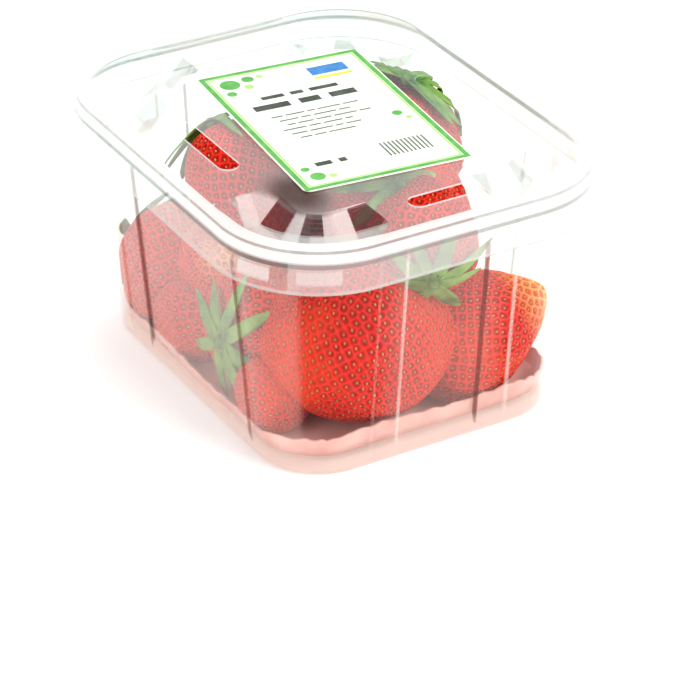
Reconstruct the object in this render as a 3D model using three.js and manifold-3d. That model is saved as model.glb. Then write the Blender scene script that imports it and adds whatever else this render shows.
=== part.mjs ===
// A punnet of strawberries: a clear tapered tray with a pad and berries, shut by a press-on lid.
// Millimetres, +Z up, origin at the middle of the foot. The lid's label reads along +X.
import * as THREE from "three";
import { mergeVertices } from "three/addons/utils/BufferGeometryUtils.js";
import ManifoldModule from "manifold-3d";

const wasm = await ManifoldModule();
wasm.setup();
const { Manifold, Mesh } = wasm;

// Driving sizes. Every level of the pack is one core rectangle grown outward by a radius r,
// so all four corners turn about the same upright lines and the walls keep one draft.
const CORE_X = 22.8;
const CORE_Y = 34.2;
const SHEET = 0.5;
const GAP = 0.3;
const ARC_STEPS = 8;

// The tray
const FOOT_R = 15.6;
const WALL_R = 16.8;
const WALL_START = 1.5;
const DRAFT = 0.087;
const TRAY_TOP = 64.8;
const FLANGE_R = 25.0;
const FLANGE_LIP = 2.0;
const PANEL_R = 9.5;
const PANEL_RISE = 1.6;
const LONG_PANEL = 20.5;
const LONG_RIDGE = 31.5;
const SHORT_PANEL = 11;
const SHORT_RIDGE = 19;
const PANEL_SET_BACK = 0.8;
const RIDGE_HEIGHT = 0.6;
const CREASE_WIDTH = 0.9;
const RIB_BOTTOM = 3;
const RIB_TOP = 61;
const RIB_FADE = 3;

// The lid
const LID_PANEL_Z = 65.6;
const LID_PANEL_R = 22.5;
const RIM_INNER_R = 23.0;
const RIM_OUTER_R = 25.5;
const RIM_TOP = 66.4;
const SHOULDER_R = 26.4;
const SHOULDER_Z = 64.5;
const SKIRT_TOP_R = 26.6;
const SKIRT_TOP_Z = 62.8;
const SKIRT_FOOT_R = 27.4;
const SKIRT_FOOT_Z = 56.3;
const LIP_R = 27.9;
const LIP_Z = 55.7;
const POCKET_IN_R = 6.4;
const POCKET_OUT_R = 17.7;
const POCKET_FLOOR_IN_R = 12;
const POCKET_FLOOR_OUT_R = 15.8;
const POCKET_DEPTH = 5.9;
const POCKET_REACH = 11.1;
const POCKET_FLOOR_REACH = 6.2;
const POCKET_SHORTEN = 2.4;
const SLOT_WIDTH = 5.4;
const SLOT_LONG = 28.4;
const SLOT_SHORT = 18;
const SLOT_INSET_LONG = 12.9;
const SLOT_INSET_SHORT = 10.4;
const SLOT_SHIFT = 3.6;
const LUG_HEIGHT = 0.6;
const TAB_REACH = 33.5;
const TAB_FROM = 36;
const TAB_TO = 54;

// The label and the pad
const LABEL_X = 43.8;
const LABEL_Y = 66;
const LABEL_THICK = 0.25;
const LABEL_TURN = -5.3;
const LABEL_CORNER = 2;
const LABEL_SHIFT_X = 0.8;
const LABEL_SHIFT_Y = 0.4;
const PAD_THICK = 0.7;
const PAD_Z = 2.4;
const PAD_EDGE_LONG = 6;
const PAD_EDGE_SHORT = 10;

// Each berry: middle, the way its tip points, length, width, number of calyx leaves.
const BERRIES = [
  { at: [-9.5, -30, 26], tip: [0.1, 0.15, 1], length: 50, width: 50, leaves: 0 },
  { at: [20.5, -35.5, 17.5], tip: [0.88, -0.1, 0.4], length: 42, width: 34, leaves: 0 },
  { at: [-24.5, 30, 17], tip: [0.3, -0.9, -0.1], length: 40, width: 33, leaves: 4 },
  { at: [-22, -9, 19.5], tip: [0.93, 0.25, -0.1], length: 34, width: 35, leaves: 7 },
  { at: [20, -3, 19], tip: [0.3, 0.6, -0.5], length: 34, width: 31, leaves: 0 },
  { at: [18, 34, 20], tip: [0.5, 0.4, -0.6], length: 36, width: 33, leaves: 0 },
  { at: [-19, 9, 47.5], tip: [0.05, -0.75, -0.6], length: 39, width: 32, leaves: 5 },
  { at: [8.5, -29, 46.5], tip: [0.35, 0.9, 0.25], length: 37, width: 30, leaves: 5 },
  { at: [26, 14, 43.5], tip: [-0.45, -0.1, -0.9], length: 36, width: 34, leaves: 5 },
  { at: [-21, 11, 27], tip: [-0.3, -0.5, 0.4], length: 36, width: 31, leaves: 0 },
  { at: [5, -15, 44.5], tip: [0, 0.6, -0.8], length: 34, width: 30, leaves: 3 },
  { at: [20, -10, 42], tip: [0.4, -0.5, -0.3], length: 32, width: 28, leaves: 0 },
  { at: [-30, 12, 12.5], tip: [0.2, -1, 0.1], length: 30, width: 24, leaves: 0 },
  { at: [-31, -25, 11.5], tip: [0.2, 1, 0.1], length: 26, width: 20, leaves: 0 },
];

// Two hidden berries in the middle that join the others into one heap
const HEAP_CORE = [
  { at: [0, -8, 22], tip: [0, 0.1, 1], length: 38, width: 36, leaves: 0 },
  { at: [2, 18, 22], tip: [0, 0.1, 1], length: 38, width: 34, leaves: 0 },
];

const BERRY_SIDES = 12;
const BERRY_LEVELS = 8;
const BERRY_SWELL = 1.14;
const BERRY_BLUNT = 0.62;
const BERRY_TAPER = 0.42;
const LEAF_STEPS = 3;
const LEAF_WIDTH = 5;
const LEAF_THICK = 0.6;
const LEAF_REACH = 0.36;
const LEAF_SEAT = 0.47;
const LEAF_LIFT = 1.6;
const LEAF_DROOP = 0.28;
const LEAF_WAVE = 0.35;

// How far the berries stay inside the tray's wall, and at which level
const HEAP_INSET = [[2.2, 4], [1.6, 6], [1.2, 40], [0.2, 63]];

const COLOURS = {
  film: 0xf2f5f4,
  label: 0xeff4e6,
  pad: 0xf3dcda,
  berry: 0xc8201a,
};

function material(name, roughness) {
  return new THREE.MeshStandardMaterial({ color: COLOURS[name], roughness, metalness: 0 });
}

// The shapes as solids that can be joined and cut
function toSolid(geometry) {
  const bare = new THREE.BufferGeometry();
  bare.setAttribute("position", geometry.getAttribute("position").clone());
  if (geometry.index) bare.setIndex(geometry.index.clone());
  const merged = mergeVertices(bare, 1e-4);
  return new Manifold(new Mesh({
    numProp: 3,
    vertProperties: new Float32Array(merged.attributes.position.array),
    triVerts: turnedOutward(merged),
  }));
}

// The triangles, each reversed where together they enclose a negative volume
function turnedOutward(geometry) {
  const corners = new Uint32Array(geometry.index.array);
  const at = geometry.attributes.position;
  const [a, b, c] = [new THREE.Vector3(), new THREE.Vector3(), new THREE.Vector3()];
  let volume = 0;
  for (let i = 0; i < corners.length; i += 3) {
    a.fromBufferAttribute(at, corners[i]);
    b.fromBufferAttribute(at, corners[i + 1]);
    c.fromBufferAttribute(at, corners[i + 2]);
    volume += a.dot(b.cross(c)) / 6;
  }
  return volume < 0 ? corners.reverse() : corners;
}

function toGeometry(solid) {
  const mesh = solid.getMesh();
  const geometry = new THREE.BufferGeometry();
  geometry.setAttribute("position", new THREE.BufferAttribute(mesh.vertProperties.slice(), 3));
  geometry.setIndex(new THREE.BufferAttribute(mesh.triVerts.slice(), 1));
  geometry.computeVertexNormals();
  return geometry;
}

function solidFromRings(rings, closedCaps) {
  const positions = [];
  const index = [];
  const count = rings[0].length;
  for (const ring of rings) {
    for (const p of ring) positions.push(p.x, p.y, p.z);
  }
  for (let k = 0; k + 1 < rings.length; k += 1) {
    for (let i = 0; i < count; i += 1) {
      const j = (i + 1) % count;
      const a = k * count + i;
      const b = k * count + j;
      index.push(a, b, b + count, a, b + count, a + count);
    }
  }
  closedCaps(positions, index, count, rings.length);
  const geometry = new THREE.BufferGeometry();
  geometry.setAttribute("position", new THREE.Float32BufferAttribute(positions, 3));
  geometry.setIndex(index);
  return toSolid(geometry);
}

// Each end is closed by a fan about a point at its middle.
function fanCaps(positions, index, count, ringCount) {
  for (const [ring, flip] of [[0, true], [ringCount - 1, false]]) {
    let z = 0;
    for (let i = 0; i < count; i += 1) z += positions[(ring * count + i) * 3 + 2] / count;
    const middle = positions.length / 3;
    positions.push(0, 0, z);
    for (let i = 0; i < count; i += 1) {
      const a = ring * count + i;
      const b = ring * count + (i + 1) % count;
      index.push(middle, flip ? b : a, flip ? a : b);
    }
  }
}

// Stations round the pack, counter-clockwise: a foot on the core rectangle and an outward normal.
function cornerStations(signX, signY) {
  const stations = [];
  const start = Math.atan2(signY, signX) - Math.PI / 4;
  for (let i = 0; i <= ARC_STEPS; i += 1) {
    const angle = start + (Math.PI / 2) * (i / ARC_STEPS);
    stations.push({
      x: signX * CORE_X,
      y: signY * CORE_Y,
      nx: Math.cos(angle),
      ny: Math.sin(angle),
      push: 0,
    });
  }
  return stations;
}

// A wall's set-back middle panel and its two ridges, as offsets at places along the wall.
function wallProfile(panel, ridge) {
  const half = [
    [panel - CREASE_WIDTH, -PANEL_SET_BACK],
    [panel, 0],
    [ridge - CREASE_WIDTH, 0],
    [ridge, RIDGE_HEIGHT],
    [ridge + CREASE_WIDTH, 0],
  ];
  const mirrored = half.map(([at, push]) => [-at, push]).reverse();
  return [...mirrored, ...half];
}

function wallStations(nx, ny) {
  const long = nx !== 0;
  const profile = long ? wallProfile(LONG_PANEL, LONG_RIDGE) : wallProfile(SHORT_PANEL, SHORT_RIDGE);
  const along = long ? nx : -ny;
  return profile.map(([at, push]) => ({
    x: long ? nx * CORE_X : at * along,
    y: long ? at * along : ny * CORE_Y,
    nx,
    ny,
    push,
  }));
}

const PLAIN_ROUND = [
  ...cornerStations(1, 1),
  ...cornerStations(-1, 1),
  ...cornerStations(-1, -1),
  ...cornerStations(1, -1),
];

const RIBBED_ROUND = [
  ...cornerStations(1, 1),
  ...wallStations(0, 1),
  ...cornerStations(-1, 1),
  ...wallStations(-1, 0),
  ...cornerStations(-1, -1),
  ...wallStations(0, -1),
  ...cornerStations(1, -1),
  ...wallStations(1, 0),
];

function ringAt(stations, r, z, rib = 0) {
  return stations.map((s) => {
    const reach = r + s.push * rib;
    return new THREE.Vector3(s.x + s.nx * reach, s.y + s.ny * reach, z);
  });
}

function loft(stations, levels) {
  const rings = levels.map(([r, z, rib]) => ringAt(stations, r, z, rib));
  return solidFromRings(rings, fanCaps);
}

function wallRadius(z) {
  return WALL_R + DRAFT * z;
}

// The tray: a drafted wall with ribs, a raised middle in its floor and a flange with a turned-down lip
function trayBody(inset, floor) {
  const top = inset > 0 ? TRAY_TOP + 1 : TRAY_TOP;
  const wall = (z, rib) => [wallRadius(z) - inset, z, rib];
  return loft(RIBBED_ROUND, [
    [FOOT_R - inset, floor, 0],
    [wallRadius(WALL_START) - inset, WALL_START + floor, 0],
    wall(RIB_BOTTOM, 0),
    wall(RIB_BOTTOM + RIB_FADE, 1),
    wall(RIB_TOP - RIB_FADE, 1),
    wall(RIB_TOP, 0),
    wall(top, 0),
  ]);
}

function ringWall(outer, inner, bottom, top) {
  const shell = loft(PLAIN_ROUND, [[outer, bottom], [outer, top]]);
  return shell.subtract(loft(PLAIN_ROUND, [[inner, bottom - 1], [inner, top + 1]]));
}

function makeTray() {
  const raised = loft(RIBBED_ROUND, [[PANEL_R, SHEET / 2], [PANEL_R - 1, PANEL_RISE + SHEET]]);
  const hollow = loft(RIBBED_ROUND, [[PANEL_R - SHEET, -1], [PANEL_R - 1 - SHEET, PANEL_RISE]]);
  const flangeBottom = TRAY_TOP - SHEET;
  const flange = ringWall(FLANGE_R, wallRadius(TRAY_TOP) - SHEET / 2, flangeBottom, TRAY_TOP);
  const lip = ringWall(FLANGE_R, FLANGE_R - SHEET, TRAY_TOP - FLANGE_LIP, TRAY_TOP);
  return trayBody(0, 0)
    .subtract(trayBody(SHEET, SHEET))
    .add(raised)
    .subtract(hollow)
    .add(flange)
    .add(lip);
}

// A closed profile carried round one corner, each of its points running on past the corner by its reach
function cornerSweep(profile, signX, signY, from = 0, to = 90, shorten = 0) {
  const steps = Math.max(2, Math.round((ARC_STEPS * (to - from)) / 90));
  const first = profile.some((point) => point.reach) ? -1 : 0;
  const rings = [];
  const place = (angle, point, run) => {
    const nx = Math.cos(angle);
    const ny = Math.sin(angle);
    return new THREE.Vector3(
      signX * (CORE_X + nx * point.r - Math.abs(ny) * run.x),
      signY * (CORE_Y + ny * point.r - Math.abs(nx) * run.y),
      point.z,
    );
  };
  for (let i = first; i <= steps - first; i += 1) {
    const k = Math.min(Math.max(i, 0), steps);
    const angle = THREE.MathUtils.degToRad(from + ((to - from) * k) / steps);
    rings.push(profile.map((point) => {
      const reach = point.reach || 0;
      const run = { x: i > steps ? reach - shorten : 0, y: i < 0 ? reach : 0 };
      return place(angle, point, run);
    }));
  }
  return solidFromRings(rings, profileCaps);
}

function profileCaps(positions, index, count, ringCount) {
  for (const [ring, flip] of [[0, true], [ringCount - 1, false]]) {
    for (let i = 1; i + 1 < count; i += 1) {
      const a = ring * count;
      const b = ring * count + i;
      const c = ring * count + i + 1;
      index.push(a, flip ? c : b, flip ? b : c);
    }
  }
}

// The pocket pressed into each corner of the lid
function pocketProfile(grow, top) {
  const floor = LID_PANEL_Z - POCKET_DEPTH - (grow > 0 ? SHEET : 0);
  return [
    { r: POCKET_IN_R - grow, z: top, reach: POCKET_REACH + grow },
    { r: POCKET_OUT_R + grow * 0.8, z: top, reach: POCKET_REACH + grow },
    { r: POCKET_FLOOR_OUT_R + grow * 0.8, z: floor, reach: POCKET_FLOOR_REACH + grow },
    { r: POCKET_FLOOR_IN_R - grow, z: floor, reach: POCKET_FLOOR_REACH + grow },
  ];
}

function rimRampProfile() {
  return [
    { r: POCKET_OUT_R + 0.2, z: LID_PANEL_Z - SHEET / 2, reach: POCKET_REACH - 1 },
    { r: POCKET_OUT_R + 0.2, z: LID_PANEL_Z, reach: POCKET_REACH - 1 },
    { r: RIM_INNER_R + 0.1, z: RIM_TOP, reach: 1 },
    { r: RIM_INNER_R + 0.1, z: LID_PANEL_Z - SHEET / 2, reach: 1 },
  ];
}

function lugProfile() {
  const low = SKIRT_FOOT_Z + 1.4;
  const high = SKIRT_TOP_Z - 1;
  return [
    { r: SKIRT_TOP_R - 0.1, z: low },
    { r: SKIRT_TOP_R - 0.1, z: high },
    { r: SKIRT_TOP_R + LUG_HEIGHT, z: high - 0.4 },
    { r: SKIRT_FOOT_R + LUG_HEIGHT - 0.2, z: low + 0.4 },
  ];
}

function slotCutter(length, x, y, turned) {
  const shape = new THREE.Shape();
  const straight = (length - SLOT_WIDTH) / 2;
  shape.absarc(straight, 0, SLOT_WIDTH / 2, -Math.PI / 2, Math.PI / 2, false);
  shape.absarc(-straight, 0, SLOT_WIDTH / 2, Math.PI / 2, Math.PI * 1.5, false);
  const block = new THREE.ExtrudeGeometry(shape, { depth: 4, bevelEnabled: false, curveSegments: 8 });
  if (turned) block.rotateZ(Math.PI / 2);
  block.translate(x, y, LID_PANEL_Z - 2);
  return toSolid(block);
}

// One slot on each side, moved along it: the same when the pack is turned half round
function ventSlots() {
  const longX = CORE_X + LID_PANEL_R - SLOT_INSET_LONG;
  const shortY = CORE_Y + LID_PANEL_R - SLOT_INSET_SHORT;
  const slots = [];
  for (const side of [-1, 1]) {
    slots.push(slotCutter(SLOT_LONG, side * longX, -side * SLOT_SHIFT, true));
    slots.push(slotCutter(SLOT_SHORT, -side * SLOT_SHIFT, side * shortY, false));
  }
  return slots;
}

function pocket(grow, top, signX, signY) {
  return cornerSweep(pocketProfile(grow, top), signX, signY, 0, 90, POCKET_SHORTEN);
}

function makeLid() {
  const outer = loft(PLAIN_ROUND, [
    [LIP_R, LIP_Z],
    [LIP_R, LIP_Z + SHEET],
    [SKIRT_FOOT_R, SKIRT_FOOT_Z],
    [SKIRT_TOP_R, SKIRT_TOP_Z],
    [SHOULDER_R, SHOULDER_Z],
    [RIM_OUTER_R, RIM_TOP],
    [RIM_INNER_R, RIM_TOP],
    [LID_PANEL_R, LID_PANEL_Z],
  ]);
  const inner = loft(PLAIN_ROUND, [
    [SKIRT_FOOT_R - SHEET, LIP_Z - 1],
    [SKIRT_FOOT_R - SHEET, SKIRT_FOOT_Z],
    [SKIRT_TOP_R - SHEET, SKIRT_TOP_Z],
    [SHOULDER_R - SHEET, SHOULDER_Z],
    [RIM_OUTER_R - 0.2, RIM_TOP - SHEET],
    [RIM_INNER_R + 0.2, RIM_TOP - SHEET],
    [LID_PANEL_R, LID_PANEL_Z - SHEET],
  ]);
  let lid = outer.subtract(inner);
  for (const signX of [-1, 1]) {
    for (const signY of [-1, 1]) {
      lid = lid
        .add(cornerSweep(rimRampProfile(), signX, signY))
        .add(pocket(SHEET, LID_PANEL_Z - 0.2, signX, signY))
        .subtract(pocket(0, LID_PANEL_Z + 0.2, signX, signY))
        .add(cornerSweep(lugProfile(), signX, signY, 18, 38))
        .add(cornerSweep(lugProfile(), signX, signY, 50, 70));
    }
  }
  for (const slot of ventSlots()) lid = lid.subtract(slot);
  const tab = [
    { r: SKIRT_FOOT_R, z: LIP_Z },
    { r: SKIRT_FOOT_R, z: LIP_Z + SHEET },
    { r: TAB_REACH, z: LIP_Z + SHEET },
    { r: TAB_REACH, z: LIP_Z },
  ];
  return lid.add(cornerSweep(tab, 1, -1, TAB_FROM, TAB_TO));
}

// The label: a thin sheet with rounded corners, laid a little askew
function makeLabel() {
  const x = LABEL_X / 2 - LABEL_CORNER;
  const y = LABEL_Y / 2 - LABEL_CORNER;
  const shape = new THREE.Shape();
  shape.absarc(x, y, LABEL_CORNER, 0, Math.PI / 2, false);
  shape.absarc(-x, y, LABEL_CORNER, Math.PI / 2, Math.PI, false);
  shape.absarc(-x, -y, LABEL_CORNER, Math.PI, Math.PI * 1.5, false);
  shape.absarc(x, -y, LABEL_CORNER, Math.PI * 1.5, Math.PI * 2, false);
  return new THREE.ExtrudeGeometry(shape, { depth: LABEL_THICK, bevelEnabled: false, curveSegments: 6 });
}

// The pad: a soft sheet whose edge curls up the walls, lower on the long sides
function padEdge(station, i) {
  const short = Math.abs(station.ny);
  const wave = 0.7 * Math.sin(i * 0.9) + 0.4 * Math.sin(i * 2.3);
  return PAD_EDGE_LONG + (PAD_EDGE_SHORT - PAD_EDGE_LONG) * short + wave;
}

function padLayer(inset, extra) {
  const bottom = PAD_Z + inset;
  const clear = SHEET + PANEL_SET_BACK + 0.4 + inset;
  const level = (r, z) => ringAt(RIBBED_ROUND, r, z);
  const edge = RIBBED_ROUND.map((s, i) => {
    const z = padEdge(s, i) + extra;
    const r = wallRadius(z) - clear;
    return new THREE.Vector3(s.x + s.nx * r, s.y + s.ny * r, z);
  });
  const rings = [
    level(wallRadius(bottom) - clear - 1.6, bottom),
    level(wallRadius(bottom + 1.4) - clear, bottom + 1.4),
    edge,
  ];
  return solidFromRings(rings, fanCaps);
}

function makePad() {
  return padLayer(0, 0).subtract(padLayer(PAD_THICK, 6));
}

// A berry's half-width from its calyx end (t = 0) to its tip (t = 1), as a share of the widest
function berryRadius(t) {
  return BERRY_SWELL * Math.pow(Math.sin(Math.PI * t), BERRY_BLUNT) * (1 - BERRY_TAPER * t);
}

// A berry on +Z: the calyx end at the top, the tip at the bottom
function berryGeometry(length, width) {
  const profile = [];
  for (let i = BERRY_LEVELS; i >= 0; i -= 1) {
    const t = i / BERRY_LEVELS;
    const r = i === 0 || i === BERRY_LEVELS ? 0 : (width / 2) * berryRadius(t);
    profile.push(new THREE.Vector2(r, (0.5 - t) * length));
  }
  return new THREE.LatheGeometry(profile, BERRY_SIDES);
}

// One calyx leaf along +X: a thin wavy blade that leaves the berry's top and bends down over it
function leafRings(length, turn) {
  const rings = [];
  for (let i = 0; i <= LEAF_STEPS; i += 1) {
    const t = i / LEAF_STEPS;
    const along = 1 + length * t;
    const half = (LEAF_WIDTH / 2) * Math.sin(Math.PI * (0.12 + 0.8 * t));
    const bend = LEAF_LIFT * Math.sin(Math.PI * t) - length * LEAF_DROOP * t * t;
    const z = bend + LEAF_WAVE * Math.sin(t * 7 + turn);
    rings.push([
      new THREE.Vector3(along, -half, z - LEAF_THICK / 2),
      new THREE.Vector3(along, half, z - LEAF_THICK / 2),
      new THREE.Vector3(along, half, z + LEAF_THICK / 2),
      new THREE.Vector3(along, -half, z + LEAF_THICK / 2),
    ]);
  }
  return rings;
}

function makeBerry({ at, tip, length, width, leaves }, order) {
  const down = new THREE.Vector3(...tip).normalize();
  const turn = new THREE.Quaternion().setFromUnitVectors(new THREE.Vector3(0, 0, -1), down);
  const place = new THREE.Matrix4().compose(new THREE.Vector3(...at), turn, new THREE.Vector3(1, 1, 1));
  const body = berryGeometry(length, width).rotateX(Math.PI / 2);
  let berry = toSolid(body.applyMatrix4(place));
  for (let i = 0; i < leaves; i += 1) {
    const angle = (2 * Math.PI * (i + 0.3 * Math.sin(order + i * 2))) / leaves;
    const spin = new THREE.Matrix4().makeRotationZ(angle);
    const raise = new THREE.Matrix4().makeTranslation(0, 0, length * LEAF_SEAT);
    const toPack = place.clone().multiply(raise).multiply(spin);
    const rings = leafRings(width * LEAF_REACH, angle);
    for (const ring of rings) ring.forEach((point) => point.applyMatrix4(toPack));
    berry = berry.add(solidFromRings(rings, profileCaps));
  }
  return berry;
}

// The heap: the berries and its hidden core, held inside the tray and under the lid
function makeBerries() {
  const clear = SHEET + PANEL_SET_BACK + GAP;
  const walls = HEAP_INSET.map(([inset, z]) => [wallRadius(z) - clear - inset, z]);
  const room = loft(PLAIN_ROUND, [
    [walls[0][0], PAD_Z + PAD_THICK + GAP],
    ...walls.slice(1),
    [walls.at(-1)[0], LID_PANEL_Z - SHEET - GAP],
  ]);
  const [first, ...others] = [...HEAP_CORE, ...BERRIES].map(makeBerry);
  let heap = first;
  for (const berry of others) heap = heap.add(berry);
  heap = heap.intersect(room);
  for (const signX of [-1, 1]) {
    for (const signY of [-1, 1]) {
      heap = heap.subtract(pocket(SHEET + GAP * 2, LID_PANEL_Z, signX, signY));
    }
  }
  return keepLargest(heap);
}

function keepLargest(solid) {
  const pieces = solid.decompose();
  const volumes = pieces.map((piece) => piece.volume());
  return pieces[volumes.indexOf(Math.max(...volumes))];
}

function named(name, geometry, finish) {
  const mesh = new THREE.Mesh(geometry, finish);
  mesh.name = name;
  return mesh;
}

const film = material("film", 0.08);
const punnet = new THREE.Group();
punnet.name = "punnet_of_strawberries";
punnet.add(named("tray", toGeometry(makeTray()), film));
punnet.add(named("lid", toGeometry(makeLid()), film));
const label = named("label", makeLabel(), material("label", 0.55));
label.rotation.z = THREE.MathUtils.degToRad(LABEL_TURN);
label.position.set(LABEL_SHIFT_X, LABEL_SHIFT_Y, LID_PANEL_Z + GAP);
punnet.add(label);
punnet.add(named("pad", toGeometry(makePad()), material("pad", 0.5)));
punnet.add(named("berries", toGeometry(makeBerries()), material("berry", 0.35)));

export default punnet;
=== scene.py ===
# %% [markdown]
# A punnet of strawberries, seen in a studio. The pack is a clear tray with drafted walls and a
# press-on lid, both blown from thin plastic sheet, with a paper label on top and a soft pad under
# the fruit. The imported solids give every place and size; this file gives the looks. It starts by
# loading that frame, so that every new piece lands where the solids are, with no fitting by eye.

# %% Load the frame
import math

import bmesh
import bpy
import numpy as np
from mathutils import Matrix, Vector, kdtree


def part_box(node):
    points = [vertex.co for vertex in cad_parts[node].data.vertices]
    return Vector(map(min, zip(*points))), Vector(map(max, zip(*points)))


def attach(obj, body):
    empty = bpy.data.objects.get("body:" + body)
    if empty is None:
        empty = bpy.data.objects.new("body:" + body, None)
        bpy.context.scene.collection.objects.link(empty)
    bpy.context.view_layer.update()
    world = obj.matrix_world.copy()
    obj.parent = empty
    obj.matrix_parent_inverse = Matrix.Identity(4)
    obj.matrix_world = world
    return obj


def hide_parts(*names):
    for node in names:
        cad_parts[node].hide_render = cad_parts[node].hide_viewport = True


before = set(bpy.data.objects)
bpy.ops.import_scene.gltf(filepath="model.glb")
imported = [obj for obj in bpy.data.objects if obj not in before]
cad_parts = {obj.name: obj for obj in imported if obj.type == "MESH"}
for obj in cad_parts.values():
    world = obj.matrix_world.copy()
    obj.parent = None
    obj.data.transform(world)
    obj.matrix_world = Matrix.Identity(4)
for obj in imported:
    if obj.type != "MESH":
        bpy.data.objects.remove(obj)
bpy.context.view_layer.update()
MM = 0.001
print("frame loaded:", sorted(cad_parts))

# %% [markdown]
# Every level of this pack is one small rectangle grown outward by a radius. The four corners turn
# about the same upright lines, so one number, the radius, says how wide the pack is at a height.
# The rectangle is worked out from the lid's box and from the radius of the lid's lip.

# %% Sizes that the pieces share
LIP_R = 27.9 * MM
lid_low, lid_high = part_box("lid")
tray_low, tray_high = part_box("tray")
CORE_X = lid_high.x - LIP_R
CORE_Y = lid_high.y - LIP_R
SHEET = 0.45 * MM
FOOT_R = 15.6 * MM
WALL_R = 16.8 * MM
DRAFT = 0.087
FLANGE_R = tray_high.x - CORE_X
TRAY_TOP = tray_high.z
RIM_TOP = lid_high.z
PANEL_Z = RIM_TOP - 0.8 * MM
print(f"core rectangle {CORE_X / MM:.1f} by {CORE_Y / MM:.1f} mm, half sizes")


def wall_radius(height):
    """How far the tray's wall stands out from the core rectangle at a height."""
    return WALL_R + DRAFT * height


# %% [markdown]
# Colours are written as the hex values that a paint chart or a screen gives. Blender's shaders
# count light, not screen values, so one function turns a hex value to linear. A second small
# function adds a node with its settings and links, and every material below is made with it.

# %% Colours and nodes
def linear(hex_value):
    """A hex colour such as "c8201a" as linear red, green, blue and alpha."""
    shares = [int(hex_value[i:i + 2], 16) / 255 for i in (0, 2, 4)]
    return [s / 12.92 if s <= 0.04045 else ((s + 0.055) / 1.055) ** 2.4 for s in shares] + [1.0]


def add_node(material, kind, settings=None, links=None):
    """A new node: settings are socket values or node properties, links feed its sockets."""
    node = material.node_tree.nodes.new(kind)
    for name, value in (settings or {}).items():
        if isinstance(name, int) or name in node.inputs:
            node.inputs[name].default_value = value
        else:
            setattr(node, name, value)
    for name, socket in (links or {}).items():
        material.node_tree.links.new(socket, node.inputs[name])
    return node


def new_material(name):
    """An empty material, and the output node that its last shader goes to."""
    material = bpy.data.materials.new(name)
    material.use_nodes = True
    material.node_tree.nodes.clear()
    return material, add_node(material, "ShaderNodeOutputMaterial")


def finish_material(material, output, shader):
    """Sends the last shader to the output, and returns the material."""
    material.node_tree.links.new(shader, output.inputs["Surface"])
    return material


def own_place(material):
    """The socket that gives each point's place on its own piece."""
    return add_node(material, "ShaderNodeTexCoord").outputs["Object"]


def mottled(material, scale, first, second, start=0.0, end=1.0):
    """A socket whose colour wanders between two, by a noise that stays put on the piece."""
    noise = add_node(
        material, "ShaderNodeTexNoise", {"Scale": scale, "Detail": 3.0}, {"Vector": own_place(material)}
    )
    tone = add_node(material, "ShaderNodeValToRGB", links={"Fac": noise.outputs["Fac"]})
    stops = tone.color_ramp.elements
    stops[0].position, stops[0].color = start, linear(first)
    stops[1].position, stops[1].color = end, linear(second)
    return tone.outputs["Color"]


def plain_finish(name, settings, mottle=None):
    """A material of one shader; mottle gives the scale, the tones and the bounds of its colour."""
    material, output = new_material(name)
    links = {"Base Color": mottled(material, *mottle)} if mottle else {}
    shader = add_node(material, "ShaderNodeBsdfPrincipled", settings, links)
    return finish_material(material, output, shader.outputs["BSDF"])


# %% [markdown]
# Each finished mesh becomes an object that sits at the origin, rides on the pack's only body and
# takes the finish that it is given.

# %% From a bmesh to a piece of the object
def add_piece(name, mesh, material, replaced=None):
    """Makes a mesh an object of the pack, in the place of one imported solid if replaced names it."""
    mesh.materials.append(material)
    piece = bpy.data.objects.new(name, mesh)
    bpy.context.scene.collection.objects.link(piece)
    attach(piece, "root")
    if replaced:
        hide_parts(replaced)
    print(f"{name}: {len(mesh.polygons)} faces")
    return piece


def make_piece(name, bm, material, replaced=None, smooth_angle=35):
    """Turns a bmesh into a piece: edges flatter than smooth_angle are shaded smooth."""
    limit = math.radians(smooth_angle)
    for face in bm.faces:
        face.smooth = True
    for edge in bm.edges:
        edge.smooth = len(edge.link_faces) != 2 or edge.calc_face_angle(0.0) < limit
    mesh = bpy.data.meshes.new(name)
    bm.to_mesh(mesh)
    bm.free()
    return add_piece(name, mesh, material, replaced)


# %% [markdown]
# The studio is a pale floor under soft light. A wide, low softbox stands at the front right,
# because the real lid shows a broad bright shape on every facet that leans that way, and a large
# one hangs overhead. The world is a soft grey-white, so that clear plastic has something to reflect.

# %% Floor
FLOOR_SIZE = 6.0
# A hair below the pack, so that the two never share a plane
FLOOR_DROP = 0.05 * MM
floor_mesh = bpy.data.meshes.new("floor")
bm = bmesh.new()
bmesh.ops.create_grid(bm, x_segments=1, y_segments=1, size=FLOOR_SIZE / 2)
bmesh.ops.translate(bm, vec=(0, 0, -FLOOR_DROP), verts=bm.verts[:])
bm.to_mesh(floor_mesh)
bm.free()
floor = bpy.data.objects.new("floor", floor_mesh)
bpy.context.scene.collection.objects.link(floor)
floor_mesh.materials.append(
    plain_finish("studio floor, matt pale paint", {"Base Color": linear("f6f6f5"), "Roughness": 0.75})
)

# %% Lights
world = bpy.data.worlds.new("soft studio")
world.use_nodes = True
world.node_tree.nodes["Background"].inputs["Color"].default_value = linear("f4f6f8")
world.node_tree.nodes["Background"].inputs["Strength"].default_value = 0.72
bpy.context.scene.world = world


def softbox(name, direction, distance, width, height, watts):
    """A flat, soft white lamp that looks at the pack from a direction."""
    data = bpy.data.lights.new(name, "AREA")
    data.shape = "RECTANGLE"
    data.size = width
    data.size_y = height
    data.energy = watts
    lamp = bpy.data.objects.new(name, data)
    lamp.location = Vector(direction).normalized() * distance
    lamp.rotation_mode = "QUATERNION"
    lamp.rotation_quaternion = Vector(direction).to_track_quat("Z", "Y")
    bpy.context.scene.collection.objects.link(lamp)


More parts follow.
